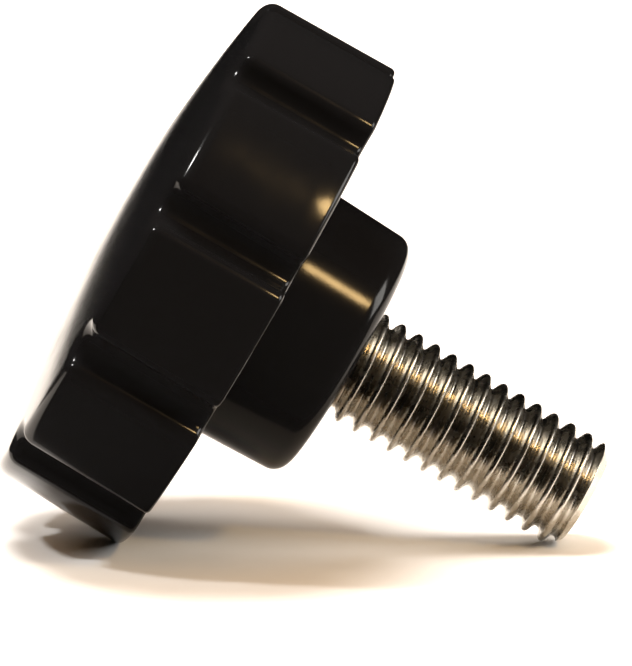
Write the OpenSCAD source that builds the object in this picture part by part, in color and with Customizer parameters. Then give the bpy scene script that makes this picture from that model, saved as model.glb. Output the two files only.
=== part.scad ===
// Star knob screw: a moulded lobed head with a round hub, and a threaded steel stud fixed in it.
// It lies as it comes to rest, on two lobes and the end of the stud. +Z is up, sizes in millimetres.

/* [Head] */
// Diameter over the lobes at the back face
head_d = 44.1; // [38:0.05:54]
// Thickness of the head at its rim
rim_thick = 12.3; // [9:0.1:16]
// Extra height of the front face at its middle
crown_rise = 2.6; // [0.6:0.1:4]
// Number of lobes
lobe_count = 10; // [8:1:12]
// Depth of the flutes below the lobe tops
flute_depth = 1.7; // [1:0.1:1.9]
// Radius of the round flute bottoms
flute_r = 1.4; // [1:0.1:2.2]
// Radius where a lobe top turns into a flute
lip_r = 1.3; // [1.2:0.1:1.8]
// Rounding of the front edge
front_round = 1.5; // [0.6:0.1:1.5]
// Rounding of the back edge
back_round = 0.45; // [0.2:0.05:0.8]
// Taper of the side toward the front, in degrees
side_draft = 1; // [0:0.1:1.5]

/* [Hub] */
// Hub diameter where it meets the head
hub_base_d = 22.2; // [19:0.1:26]
// Narrowing of the hub from its base to its end
hub_taper = 0.7; // [0:0.1:1.2]
// Height of the hub above the back face
hub_h = 8.4; // [5:0.1:12]
// Rounding of the hub end
hub_round = 1.5; // [0.4:0.1:2]

/* [Stud] */
// Outside diameter of the thread
stud_d = 9.525; // [7.9:0.005:11.5]
// Length of stud standing out of the hub
stud_out = 22.2; // [16:0.1:34]
// Chamfer at the end of the stud
tip_chamfer = 0.95; // [0.4:0.05:1.4]

/* [Anchor] */
// Diameter of the knurled collar moulded into the head
collar_d = 13; // [12.4:0.1:14.5]
// Length of the knurled collar
collar_len = 9; // [6:0.1:10]
// Distance from the hub end down to the collar
collar_down = 5; // [4:0.1:7]
// Diameter of the plain neck between the thread and the collar
neck_d = 7.6; // [6.4:0.1:7.8]
// Number of knurl teeth round the collar
knurl_count = 28; // [16:1:36]
// Depth of a knurl tooth
knurl_depth = 0.5; // [0.3:0.05:0.7]
// Width of the locking groove in the middle of the collar
groove_w = 1.6; // [1:0.1:2.4]
// Depth of the locking groove
groove_depth = 1.2; // [0.8:0.1:1.6]
// Depth of the recess in the hub round the first thread
recess = 0.3; // [0.1:0.1:0.8]
// Room left between the insert and the moulding
insert_gap = 0.02; // [0.01:0.01:0.05]

/* [Hidden] */
$fn = 96;
eps = 0.01;

head_r = head_d / 2;
stud_r = stud_d / 2;
half_pitch = 180 / lobe_count;
tip_z = hub_h + stud_out;
collar_top = hub_h - collar_down;
collar_z = collar_top - collar_len;

// Lobed outline: lobe top, lip and flute arcs that run into each other
top_steps = 3;
lip_steps = 4;
flute_steps = 4;
flute_far = head_r - flute_depth + flute_r;
lip_near = head_r - lip_r;
lip_reach = flute_r + lip_r;
// The lip centre lies lip_near from the axis and lip_reach from the flute centre
lip_off = acos((lip_near * lip_near + flute_far * flute_far - lip_reach * lip_reach)
               / (2 * lip_near * flute_far));
top_end = half_pitch - lip_off;
flute_c = flute_far * [cos(half_pitch), sin(half_pitch)];
lip_c = lip_near * [cos(top_end), sin(top_end)];
lip_end = atan2(flute_c[1] - lip_c[1], flute_c[0] - lip_c[0]);

// A point on an arc and the way out from the solid there: [x, y, nx, ny]
function arc_pt(c, r, a) = [c[0] + r * cos(a), c[1] + r * sin(a), cos(a), sin(a)];
function flipped(p) = [p[0], -p[1], p[2], -p[3]];
function turned(p, a) = [p[0] * cos(a) - p[1] * sin(a), p[0] * sin(a) + p[1] * cos(a),
                         p[2] * cos(a) - p[3] * sin(a), p[2] * sin(a) + p[3] * cos(a)];
half_lobe = concat(
    [for (i = [0:top_steps]) arc_pt([0, 0], head_r, top_end * i / top_steps)],
    [for (i = [1:lip_steps]) arc_pt(lip_c, lip_r, top_end + (lip_end - top_end) * i / lip_steps)],
    [for (i = [1:flute_steps])
        arc_pt(flute_c, -flute_r, lip_end + (half_pitch - lip_end) * i / flute_steps)]);
half_n = len(half_lobe) - 1;
one_lobe = concat([for (i = [half_n:-1:1]) flipped(half_lobe[i])],
                  [for (i = [0:half_n - 1]) half_lobe[i]]);
outline = [for (k = [0:lobe_count - 1]) for (p = one_lobe) turned(p, (2 * k + 1) * half_pitch)];
around = len(outline);

// Rings from the back face to the front face
crown_slope = atan(2 * crown_rise / head_r);
front_turn = 90 - crown_slope;
draft_in = rim_thick * tan(side_draft);
front_in = draft_in + front_round * (1 - cos(front_turn));
back_steps = 2;
front_steps = 4;
dome_parts = [0.8, 0.52, 0.26];
function front_z(r) = -rim_thick - crown_rise * (1 - pow(r / head_r, 2));
function inset(p, s) = [p[0] - s * p[2], p[1] - s * p[3]];
function back_ring(a) = [for (p = outline) let(q = inset(p, back_round * (1 - cos(a))))
    [q[0], q[1], -back_round * (1 - sin(a))]];
function front_ring(a) = [for (p = outline)
    let(q = inset(p, draft_in + front_round * (1 - cos(a))), e = norm(inset(p, front_in)))
    [q[0], q[1], front_z(e) + front_round * (sin(front_turn) - sin(a))]];
function dome_ring(f) = [for (p = outline) let(q = f * inset(p, front_in))
    [q[0], q[1], front_z(norm(q))]];
rings = concat(
    [for (i = [back_steps:-1:0]) back_ring(90 * i / back_steps)],
    [for (i = [0:front_steps]) front_ring(front_turn * i / front_steps)],
    [for (f = dome_parts) dome_ring(f)]);
ring_count = len(rings);
head_points = concat([for (ring = rings) for (p = ring) p], [[0, 0, front_z(0)]]);
head_faces = concat(
    [[for (i = [around - 1:-1:0]) i]],
    [for (k = [0:ring_count - 2]) for (i = [0:around - 1]) let(j = (i + 1) % around)
        each [[k * around + i, k * around + j, (k + 1) * around + i],
              [k * around + j, (k + 1) * around + j, (k + 1) * around + i]]],
    [for (i = [0:around - 1]) [(ring_count - 1) * around + i, (ring_count - 1) * around + (i + 1) % around,
                               ring_count * around]]);

// The way it lies: the floor touches two lobes at the back and the stud where its chamfer starts
touch_z = tip_z - tip_chamfer;
function lean(ring) = atan2(max([for (p = ring) p[0]]) - stud_r, touch_z - ring[0][2]);
tilt = max([for (i = [0:back_steps]) lean(rings[i])]);
rest_h = stud_r * cos(tilt) + touch_z * sin(tilt);
end_x = (stud_r - tip_chamfer) * sin(tilt) + tip_z * cos(tilt);
front_x = min([for (p = head_points) p[2] * cos(tilt) - p[0] * sin(tilt)]);

module placed() {
    translate([-(end_x + front_x) / 2, 0, rest_h]) rotate([0, 90 + tilt, 0]) children();
}

module collar(grow) {
    tooth = 360 / knurl_count;
    linear_extrude(height = collar_len + 2 * grow)
        polygon([for (i = [0:knurl_count - 1]) each [
            (collar_d / 2 + grow) * [cos(i * tooth), sin(i * tooth)],
            (collar_d / 2 - knurl_depth + grow) * [cos((i + 0.5) * tooth), sin((i + 0.5) * tooth)]]]);
}

// The anchor moulded into the head, larger all round by grow where it makes its own seat
module anchor(grow) {
    groove_z = (collar_len - groove_w) / 2 + grow;
    translate([0, 0, collar_z - grow]) difference() {
        collar(grow);
        translate([0, 0, groove_z + grow]) difference() {
            cylinder(r = collar_d, h = groove_w - 2 * grow);
            translate([0, 0, -eps])
                cylinder(r = collar_d / 2 - groove_depth + grow, h = groove_w + 2 * eps);
        }
    }
    translate([0, 0, collar_top - eps])
        cylinder(r = neck_d / 2 + grow, h = collar_down + 3 * insert_gap);
}

module hub() {
    end_r = (hub_base_d - hub_taper) / 2;
    steps = 6;
    sunk = rim_thick / 2;
    rotate_extrude() polygon(concat(
        [[0, -sunk], [hub_base_d / 2, -sunk], [hub_base_d / 2, 0]],
        [for (i = [0:steps]) [end_r - hub_round * (1 - cos(90 * i / steps)),
                              hub_h - hub_round * (1 - sin(90 * i / steps))]],
        [[0, hub_h]]));
}

module knob_head() {
    color([0.02, 0.02, 0.022]) placed() difference() {
        union() {
            polyhedron(points = head_points, faces = head_faces, convexity = 6);
            hub();
        }
        anchor(insert_gap);
        translate([0, 0, hub_h - recess]) cylinder(r = stud_r + insert_gap, h = recess + eps);
    }
}

module threaded_stud() {
    thread_z = hub_h + insert_gap;
    color([0.62, 0.62, 0.6]) placed() {
        anchor(0);
        translate([0, 0, thread_z]) cylinder(r = stud_r, h = touch_z - thread_z);
        translate([0, 0, touch_z]) cylinder(r1 = stud_r, r2 = stud_r - tip_chamfer, h = tip_chamfer);
    }
}

knob_head();
threaded_stud();
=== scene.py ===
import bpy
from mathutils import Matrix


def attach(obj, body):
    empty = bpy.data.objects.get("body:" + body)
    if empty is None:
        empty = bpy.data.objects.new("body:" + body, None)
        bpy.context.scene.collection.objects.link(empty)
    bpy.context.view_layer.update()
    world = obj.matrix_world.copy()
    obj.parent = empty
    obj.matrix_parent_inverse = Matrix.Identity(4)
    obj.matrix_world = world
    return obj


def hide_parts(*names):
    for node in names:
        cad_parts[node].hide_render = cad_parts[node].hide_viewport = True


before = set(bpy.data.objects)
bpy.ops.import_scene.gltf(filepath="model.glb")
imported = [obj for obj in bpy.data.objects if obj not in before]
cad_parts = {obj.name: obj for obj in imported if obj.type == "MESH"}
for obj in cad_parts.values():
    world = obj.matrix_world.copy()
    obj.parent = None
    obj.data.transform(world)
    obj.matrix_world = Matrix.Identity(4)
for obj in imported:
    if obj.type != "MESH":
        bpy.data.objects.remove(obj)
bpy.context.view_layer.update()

import math

import bmesh
import bpy
from mathutils import Matrix, Vector


# ---- knob_head ----
# The hand knob: one moulding of black phenolic plastic, with ten broad lobes round the rim,
# a domed front and a round hub at the back. It is moulded round the stud's anchor.
mm = 0.001
lean = math.radians(29.7228)
place = Matrix.Translation((-3.6355 * mm, 0, 18.8365 * mm)) @ Matrix.Rotation(math.pi / 2 + lean, 4, "Y")
head_r, lobes, flute_depth, flute_r, lip_r = 22.05, 10, 1.7, 1.4, 1.3
rim, crown, front_round, back_round, draft = 11.75, 2.0, 1.25, 0.45, math.radians(1)
hub_r, hub_end_r, hub_h, hub_round, root_round, bore_r = 11.1, 10.75, 8.4, 1.5, 0.35, 4.78


def spun(bm, vert, centre, angle, steps):
    """Carries a vertex round a centre in the XY plane and returns the last new vertex."""
    out = bmesh.ops.spin(bm, geom=[vert], cent=(centre[0], centre[1], 0), axis=(0, 0, 1),
                         angle=angle, steps=steps)["geom_last"]
    return [v for v in out if isinstance(v, bmesh.types.BMVert)][0]


def walked(verts):
    """The vertices of one closed loop, in order round it."""
    order = [verts[0]]
    last = None
    while True:
        step = [e.other_vert(order[-1]) for e in order[-1].link_edges]
        nxt = [v for v in step if v is not last]
        last = order[-1]
        if nxt[0] is order[0]:
            break
        order.append(nxt[0])
        if len(order) > len(verts):
            break
    return order


def next_ring(bm, ring, points):
    """Extrudes a closed ring of vertices and moves the new ring to the points given."""
    edges = [bm.edges.get((ring[i], ring[(i + 1) % len(ring)])) for i in range(len(ring))]
    new = bmesh.ops.extrude_edge_only(bm, edges=edges)["geom"]
    fresh = {v for v in new if isinstance(v, bmesh.types.BMVert)}
    out = [[e.other_vert(v) for e in v.link_edges if e.other_vert(v) in fresh][0] for v in ring]
    for w, p in zip(out, points):
        w.co = p
    return out


def finished(bm, name, material):
    """Turns a bmesh in the part's own frame into an object at the origin, in the row's frame."""
    bmesh.ops.remove_doubles(bm, verts=bm.verts, dist=1e-7)
    bmesh.ops.recalc_face_normals(bm, faces=bm.faces)
    bmesh.ops.transform(bm, matrix=place @ Matrix.Scale(mm, 4), verts=bm.verts)
    for f in bm.faces:
        f.smooth = True
    mesh = bpy.data.meshes.new(name)
    bm.to_mesh(mesh)
    bm.free()
    obj = bpy.data.objects.new(name, mesh)
    bpy.context.scene.collection.objects.link(obj)
    mesh.materials.append(material)
    return obj


def shader(name):
    """A node material with its output, its Principled shader and object coordinates."""
    mat = bpy.data.materials.new(name)
    mat.use_nodes = True
    tree = mat.node_tree
    bsdf = tree.nodes["Principled BSDF"]
    coords = tree.nodes.new("ShaderNodeTexCoord")
    return mat, tree, bsdf, coords.outputs["Object"]


def add(tree, kind, inputs=None, **settings):
    """A node with its settings made and its inputs linked or set."""
    node = tree.nodes.new(kind)
    for key, value in settings.items():
        setattr(node, key, value)
    for key, value in (inputs or {}).items():
        if isinstance(value, bpy.types.NodeSocket):
            tree.links.new(value, node.inputs[key])
        else:
            node.inputs[key].default_value = value
    return node


bm = bmesh.new()
half = math.pi / lobes
far, near, reach = head_r - flute_depth + flute_r, head_r - lip_r, flute_r + lip_r
lip_off = math.acos((near * near + far * far - reach * reach) / (2 * near * far))
top_end = half - lip_off
flute_c = (far * math.cos(half), far * math.sin(half))
lip_c = (near * math.cos(top_end), near * math.sin(top_end))
lip_end = math.atan2(flute_c[1] - lip_c[1], flute_c[0] - lip_c[0])
start = bm.verts.new((head_r, 0, 0))
v = spun(bm, start, (0, 0), top_end, 12)
v = spun(bm, v, lip_c, lip_end - top_end, 14)
v = spun(bm, v, flute_c, half - lip_end, 14)
mirrored = bmesh.ops.duplicate(bm, geom=bm.verts[:] + bm.edges[:])["geom"]
bmesh.ops.scale(bm, vec=(1, -1, 1), verts=[g for g in mirrored if isinstance(g, bmesh.types.BMVert)])
bmesh.ops.rotate(bm, cent=(0, 0, 0), matrix=Matrix.Rotation(half, 3, "Z"), verts=bm.verts)
bmesh.ops.spin(bm, geom=bm.verts[:] + bm.edges[:], cent=(0, 0, 0), axis=(0, 0, 1),
               angle=2 * math.pi * (lobes - 1) / lobes, steps=lobes - 1, use_duplicate=True)
bmesh.ops.remove_doubles(bm, verts=bm.verts, dist=1e-4)
base = walked(bm.verts[:])
count = len(base)
flat = [v.co.copy() for v in base]
turn = sum(flat[i].x * flat[(i + 1) % count].y - flat[(i + 1) % count].x * flat[i].y for i in range(count))
out_dir = []
for i in range(count):
    t = (flat[(i + 1) % count] - flat[i - 1]).normalized() * (1 if turn > 0 else -1)
    out_dir.append(Vector((t.y, -t.x, 0)))


def lobed(s, z):
    """The outline set in by s, at height z or at a height that depends on the point."""
    points = [flat[i] - s * out_dir[i] for i in range(count)]
    return [Vector((p.x, p.y, z(p) if callable(z) else z)) for p in points]


def front_z(r):
    return -rim - crown * (1 - (r / head_r) ** 2)


turn_end = math.pi / 2 - math.atan(2 * crown / head_r)
draft_in = rim * math.tan(draft)
front_in = draft_in + front_round * (1 - math.cos(turn_end))
end_z = [front_z((flat[i] - front_in * out_dir[i]).length) for i in range(count)]
for w in base:
    w.co.z = -back_round
side_steps, round_steps = 6, 10
ring = base
for k in range(1, side_steps + round_steps + 1):
    if k <= side_steps:
        part = k / side_steps
        points = [flat[i] - draft_in * part * out_dir[i] for i in range(count)]
        for i, p in enumerate(points):
            top = end_z[i] + front_round * math.sin(turn_end)
            p.z = -back_round + (top + back_round) * part
    else:
        a = turn_end * (k - side_steps) / round_steps
        points = [flat[i] - (draft_in + front_round * (1 - math.cos(a))) * out_dir[i] for i in range(count)]
        for i, p in enumerate(points):
            p.z = end_z[i] + front_round * (math.sin(turn_end) - math.sin(a))
    ring = next_ring(bm, ring, points)
rim_points = [w.co.copy() for w in ring]
# the outline's points spread evenly by length round a circle, so that no face collapses at a flute's wall
lengths = [(flat[i] - flat[i - 1]).length for i in range(count)]
way = (1 if turn > 0 else -1) * 2 * math.pi / sum(lengths)
polar = [math.atan2(p.y, p.x) for p in flat]
even = [polar[0] + way * sum(lengths[1:i + 1]) for i in range(count)]
twist = [(a - b + math.pi) % (2 * math.pi) - math.pi for a, b in zip(even, polar)]
even = [a - sum(twist) / count for a in even]
dome_r, dome_steps = 18.2, 16
for part in (0.3, 0.6, 0.85, 1.0):
    points = []
    for p, a in zip(rim_points, even):
        x = p.x * (1 - part) + dome_r * math.cos(a) * part
        y = p.y * (1 - part) + dome_r * math.sin(a) * part
        points.append(Vector((x, y, front_z(math.hypot(x, y)))))
    ring = next_ring(bm, ring, points)
for part in [1 - (k / dome_steps) for k in range(1, dome_steps)] + [0.02]:
    r = dome_r * part
    ring = next_ring(bm, ring, [Vector((r * math.cos(a), r * math.sin(a), front_z(r))) for a in even])
bmesh.ops.pointmerge(bm, verts=ring, merge_co=(0, 0, front_z(0)))
ring = base
for k in range(1, 6):
    a = math.pi / 2 * k / 5
    ring = next_ring(bm, ring, lobed(back_round * (1 - math.cos(a)), -back_round * (1 - math.sin(a))))
edge = [w.co.copy() for w in ring]
root = hub_r + root_round
for part in (0.03, 0.2, 0.5, 0.8, 0.97, 1):
    points = []
    for p, a in zip(edge, even):
        points.append(Vector((p.x * (1 - part) + root * math.cos(a) * part,
                              p.y * (1 - part) + root * math.sin(a) * part, 0)))
    ring = next_ring(bm, ring, points)
profile = []
for k in range(1, 6):
    a = math.pi / 2 * k / 5
    profile.append((root - root_round * math.sin(a), root_round * (1 - math.cos(a))))
wall_top = hub_h - hub_round
for k in range(1, 7):
    z = root_round + (wall_top - root_round) * k / 6
    profile.append((hub_r + (hub_end_r - hub_r) * z / hub_h, z))
side_r = profile[-1][0]
for k in range(1, 11):
    a = math.pi / 2 * k / 10
    profile.append((side_r - hub_round * (1 - math.cos(a)), hub_h - hub_round * (1 - math.sin(a))))
flat_r = profile[-1][0]
profile += [(flat_r + (bore_r + 0.25 - flat_r) * k / 4, hub_h) for k in range(1, 5)]
profile += [(bore_r + 0.08, hub_h - 0.05), (bore_r, hub_h - 0.2), (bore_r, hub_h - 2)]
for r, z in profile:
    ring = next_ring(bm, ring, [Vector((r * math.cos(a), r * math.sin(a), z)) for a in even])
bm.faces.new(ring)

black, tree, bsdf, coords = shader("black_moulded_plastic")
bsdf.inputs["Base Color"].default_value = (0.006, 0.006, 0.0065, 1)
bsdf.inputs["IOR"].default_value = 1.5
bsdf.inputs["Specular IOR Level"].default_value = 0.2
haze = add(tree, "ShaderNodeTexNoise", {"Vector": coords, "Scale": 260, "Detail": 4, "Roughness": 0.6})
rough = add(tree, "ShaderNodeMapRange", {"Value": haze.outputs["Fac"], "From Min": 0.3, "From Max": 0.75,
                                         "To Min": 0.12, "To Max": 0.18})
tree.links.new(rough.outputs["Result"], bsdf.inputs["Roughness"])
ripple = add(tree, "ShaderNodeTexNoise", {"Vector": coords, "Scale": 420, "Detail": 2, "Roughness": 0.5})
grain = add(tree, "ShaderNodeTexNoise", {"Vector": coords, "Scale": 5200, "Detail": 2, "Roughness": 0.6})
bump_a = add(tree, "ShaderNodeBump", {"Height": ripple.outputs["Fac"], "Strength": 0.12, "Distance": 0.00006})
bump_b = add(tree, "ShaderNodeBump", {"Height": grain.outputs["Fac"], "Strength": 0.15, "Distance": 0.00001,
                                      "Normal": bump_a.outputs["Normal"]})
tree.links.new(bump_b.outputs["Normal"], bsdf.inputs["Normal"])
head = finished(bm, "knob_head_skin", black)
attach(head, "root")
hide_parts("knob_head")


# ---- threaded_stud ----
# The stud: a steel rod with a rolled right-hand thread, chamfered at its end and zinc plated.
# Its plain foot and knurled collar are moulded into the head and don't show.
stud_r, pitch, depth, tip, chamfer = 4.7625, 1.5875, 0.88, 30.6, 0.95
phase, steps, per = -2.17, 96, 28
# half widths of crest and root are shares of the pitch; a fine groove runs along each crest
crest_half, root_half, crest_drop, root_rise = 0.18, 0.16, 0.20, 0.14
groove_depth, groove_half = 0.018, 0.018
shape = []
for k in range(per):
    # u runs over one pitch: crest round 0, flanks, then the rounded root
    u = k / per
    d = abs(u if u < 0.5 else u - 1)
    if d < crest_half:
        r = stud_r - crest_drop * (d / crest_half) ** 2 - groove_depth * math.exp(-((d / groove_half) ** 2))
    elif d > 0.5 - root_half:
        q = (0.5 - d) / root_half
        r = stud_r - depth + root_rise * q * q
    else:
        q = (d - crest_half) / (0.5 - root_half - crest_half)
        r = stud_r - crest_drop - (depth - crest_drop - root_rise) * q
    shape.append((u, r))
bm = bmesh.new()
first = hub_h - 2.0
turns = int(math.ceil((tip - first) / pitch)) + 2
line = []
for t in range(-1, turns):
    for u, r in shape:
        line.append(bm.verts.new((r, 0, first + (t + u) * pitch)))
for a, b in zip(line, line[1:]):
    bm.edges.new((a, b))
bmesh.ops.spin(bm, geom=bm.verts[:] + bm.edges[:], cent=(0, 0, 0), axis=(0, 0, 1),
               dvec=(0, 0, pitch / steps), angle=2 * math.pi, steps=steps)
bmesh.ops.remove_doubles(bm, verts=bm.verts, dist=1e-3)
bmesh.ops.rotate(bm, cent=(0, 0, 0), matrix=Matrix.Rotation(phase, 3, "Z"), verts=bm.verts)
for v in bm.verts:
    r = math.hypot(v.co.x, v.co.y)
    limit = stud_r - max(0.0, v.co.z - (tip - chamfer))
    if r > limit > 0.5:
        v.co.x *= limit / r
        v.co.y *= limit / r
foot = first + 0.0508  # between two levels of vertices, so that the cut meets none of them
for z, side in ((tip, 1), (foot, -1)):
    cut = bmesh.ops.bisect_plane(bm, geom=bm.verts[:] + bm.edges[:] + bm.faces[:], plane_co=(0, 0, z),
                                 plane_no=(0, 0, side), clear_outer=True)["geom_cut"]
    bmesh.ops.holes_fill(bm, edges=[g for g in cut if isinstance(g, bmesh.types.BMEdge)], sides=0)

zinc, tree, bsdf, coords = shader("zinc_plated_steel")
bsdf.inputs["Metallic"].default_value = 1.0
tone = add(tree, "ShaderNodeTexNoise", {"Vector": coords, "Scale": 900, "Detail": 4, "Roughness": 0.6})
tint = add(tree, "ShaderNodeValToRGB", {"Fac": tone.outputs["Fac"]})
tint.color_ramp.elements[0].position, tint.color_ramp.elements[1].position = 0.3, 0.7
tint.color_ramp.elements[0].color = (0.50, 0.46, 0.39, 1)
tint.color_ramp.elements[1].color = (0.68, 0.65, 0.59, 1)
tree.links.new(tint.outputs["Color"], bsdf.inputs["Base Color"])
rough = add(tree, "ShaderNodeMapRange", {"Value": tone.outputs["Fac"], "From Min": 0.3, "From Max": 0.7,
                                         "To Min": 0.2, "To Max": 0.34})
tree.links.new(rough.outputs["Result"], bsdf.inputs["Roughness"])
scuff = add(tree, "ShaderNodeTexNoise", {"Vector": coords, "Scale": 2600, "Detail": 3, "Roughness": 0.65})
bump = add(tree, "ShaderNodeBump", {"Height": scuff.outputs["Fac"], "Strength": 0.3, "Distance": 0.00003})
tree.links.new(bump.outputs["Normal"], bsdf.inputs["Normal"])
stud = finished(bm, "threaded_stud_skin", zinc)
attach(stud, "root")
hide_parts("threaded_stud")


# ---- setting ----
# A plain pale table under soft studio light from above, with a dark room round it. The table's
# front and back strips don't show in reflections, so the plastic stays dark.
table_half_w = 1.2
paper, tree, bsdf, coords = shader("pale_paper")
bsdf.inputs["Specular IOR Level"].default_value = 0.0
fibre = add(tree, "ShaderNodeTexNoise", {"Vector": coords, "Scale": 300, "Detail": 3})
shade = add(tree, "ShaderNodeMapRange", {"Value": fibre.outputs["Fac"], "To Min": 0.84, "To Max": 0.88})
tone = add(tree, "ShaderNodeCombineColor", {"Red": shade.outputs["Result"], "Green": shade.outputs["Result"],
                                            "Blue": shade.outputs["Result"]})
tree.links.new(tone.outputs["Color"], bsdf.inputs["Base Color"])


def strip(name, near, far, mirrored):
    """A strip of the table between two depths; mirrored is whether it shows in reflections."""
    bm = bmesh.new()
    bmesh.ops.create_grid(bm, x_segments=1, y_segments=1, size=1.0)
    bmesh.ops.scale(bm, vec=(table_half_w, (far - near) / 2, 1), verts=bm.verts)
    bmesh.ops.translate(bm, vec=(0, (far + near) / 2, 0), verts=bm.verts)
    mesh = bpy.data.meshes.new(name)
    bm.to_mesh(mesh)
    bm.free()
    obj = bpy.data.objects.new(name, mesh)
    bpy.context.scene.collection.objects.link(obj)
    mesh.materials.append(paper)
    obj.visible_glossy = mirrored


strip("table_front", -1.2, -0.012, False)
strip("table", -0.012, 0.40, True)
strip("table_back", 0.40, 1.4, False)


def lamp(name, at, aim, size, watts, colour, mirrored=True):
    """A rectangular area light turned to face a point; mirrored is whether it shows in reflections."""
    data = bpy.data.lights.new(name, "AREA")
    data.shape = "RECTANGLE"
    data.size, data.size_y = size
    data.energy = watts
    data.color = colour
    obj = bpy.data.objects.new(name, data)
    obj.location = at
    obj.rotation_euler = (Vector(aim) - Vector(at)).to_track_quat("-Z", "Y").to_euler()
    obj.visible_glossy = mirrored
    bpy.context.scene.collection.objects.link(obj)


lamp("overhead", (-0.06, 0.10, 0.50), (0, 0, 0), (0.22, 0.22), 4.2, (1.0, 0.97, 0.93), False)
lamp("backdrop_wash", (0.0, 0.42, 0.30), (0, 0.42, 0), (0.8, 0.2), 2.6, (1.0, 0.97, 0.92), False)
lamp("warm_fill", (0.0, 0.1, 0.6), (0, 0, 0), (1.6, 1.6), 6.5, (1.0, 0.55, 0.2), False)
lamp("ceiling", (-0.1, -0.65, 1.3), (0, 0, 0), (1.0, 0.8), 0.16, (1.0, 0.98, 0.95))
lamp("window", (-0.30, -0.08, 0.49), (0, 0, 0.02), (0.05, 0.05), 1.3, (1.0, 0.99, 0.97))
lamp("warm_boss", (0.279, -0.25, 0.353), (0, 0, 0.02), (0.05, 0.05), 0.5, (1.0, 0.66, 0.28))
lamp("stud_light", (0.50, -0.10, 0.26), (0.02, 0, 0.01), (0.25, 0.30), 2.0, (1.0, 0.97, 0.92))
world = bpy.data.worlds.new("studio")
world.use_nodes = True
world.node_tree.nodes["Background"].inputs["Color"].default_value = (1, 0.95, 0.88, 1)
world.node_tree.nodes["Background"].inputs["Strength"].default_value = 0.004
bpy.context.scene.world = world
bpy.context.scene.view_settings.view_transform = "Standard"

camera_data = bpy.data.cameras.new("camera")
camera = bpy.data.objects.new("camera", camera_data)
bpy.context.scene.collection.objects.link(camera)
bpy.context.scene.camera = camera
camera_data.sensor_width = 36
camera_data.lens = 410.344
camera_data.shift_x, camera_data.shift_y = 0.00057, -0.0008
camera_data.clip_start, camera_data.clip_end = 0.01, 10
camera.location = (0.007967, -0.602328, 0.119810)
camera.rotation_euler = [math.radians(a) for a in (80.3034, -0.8283, 0.8014)]
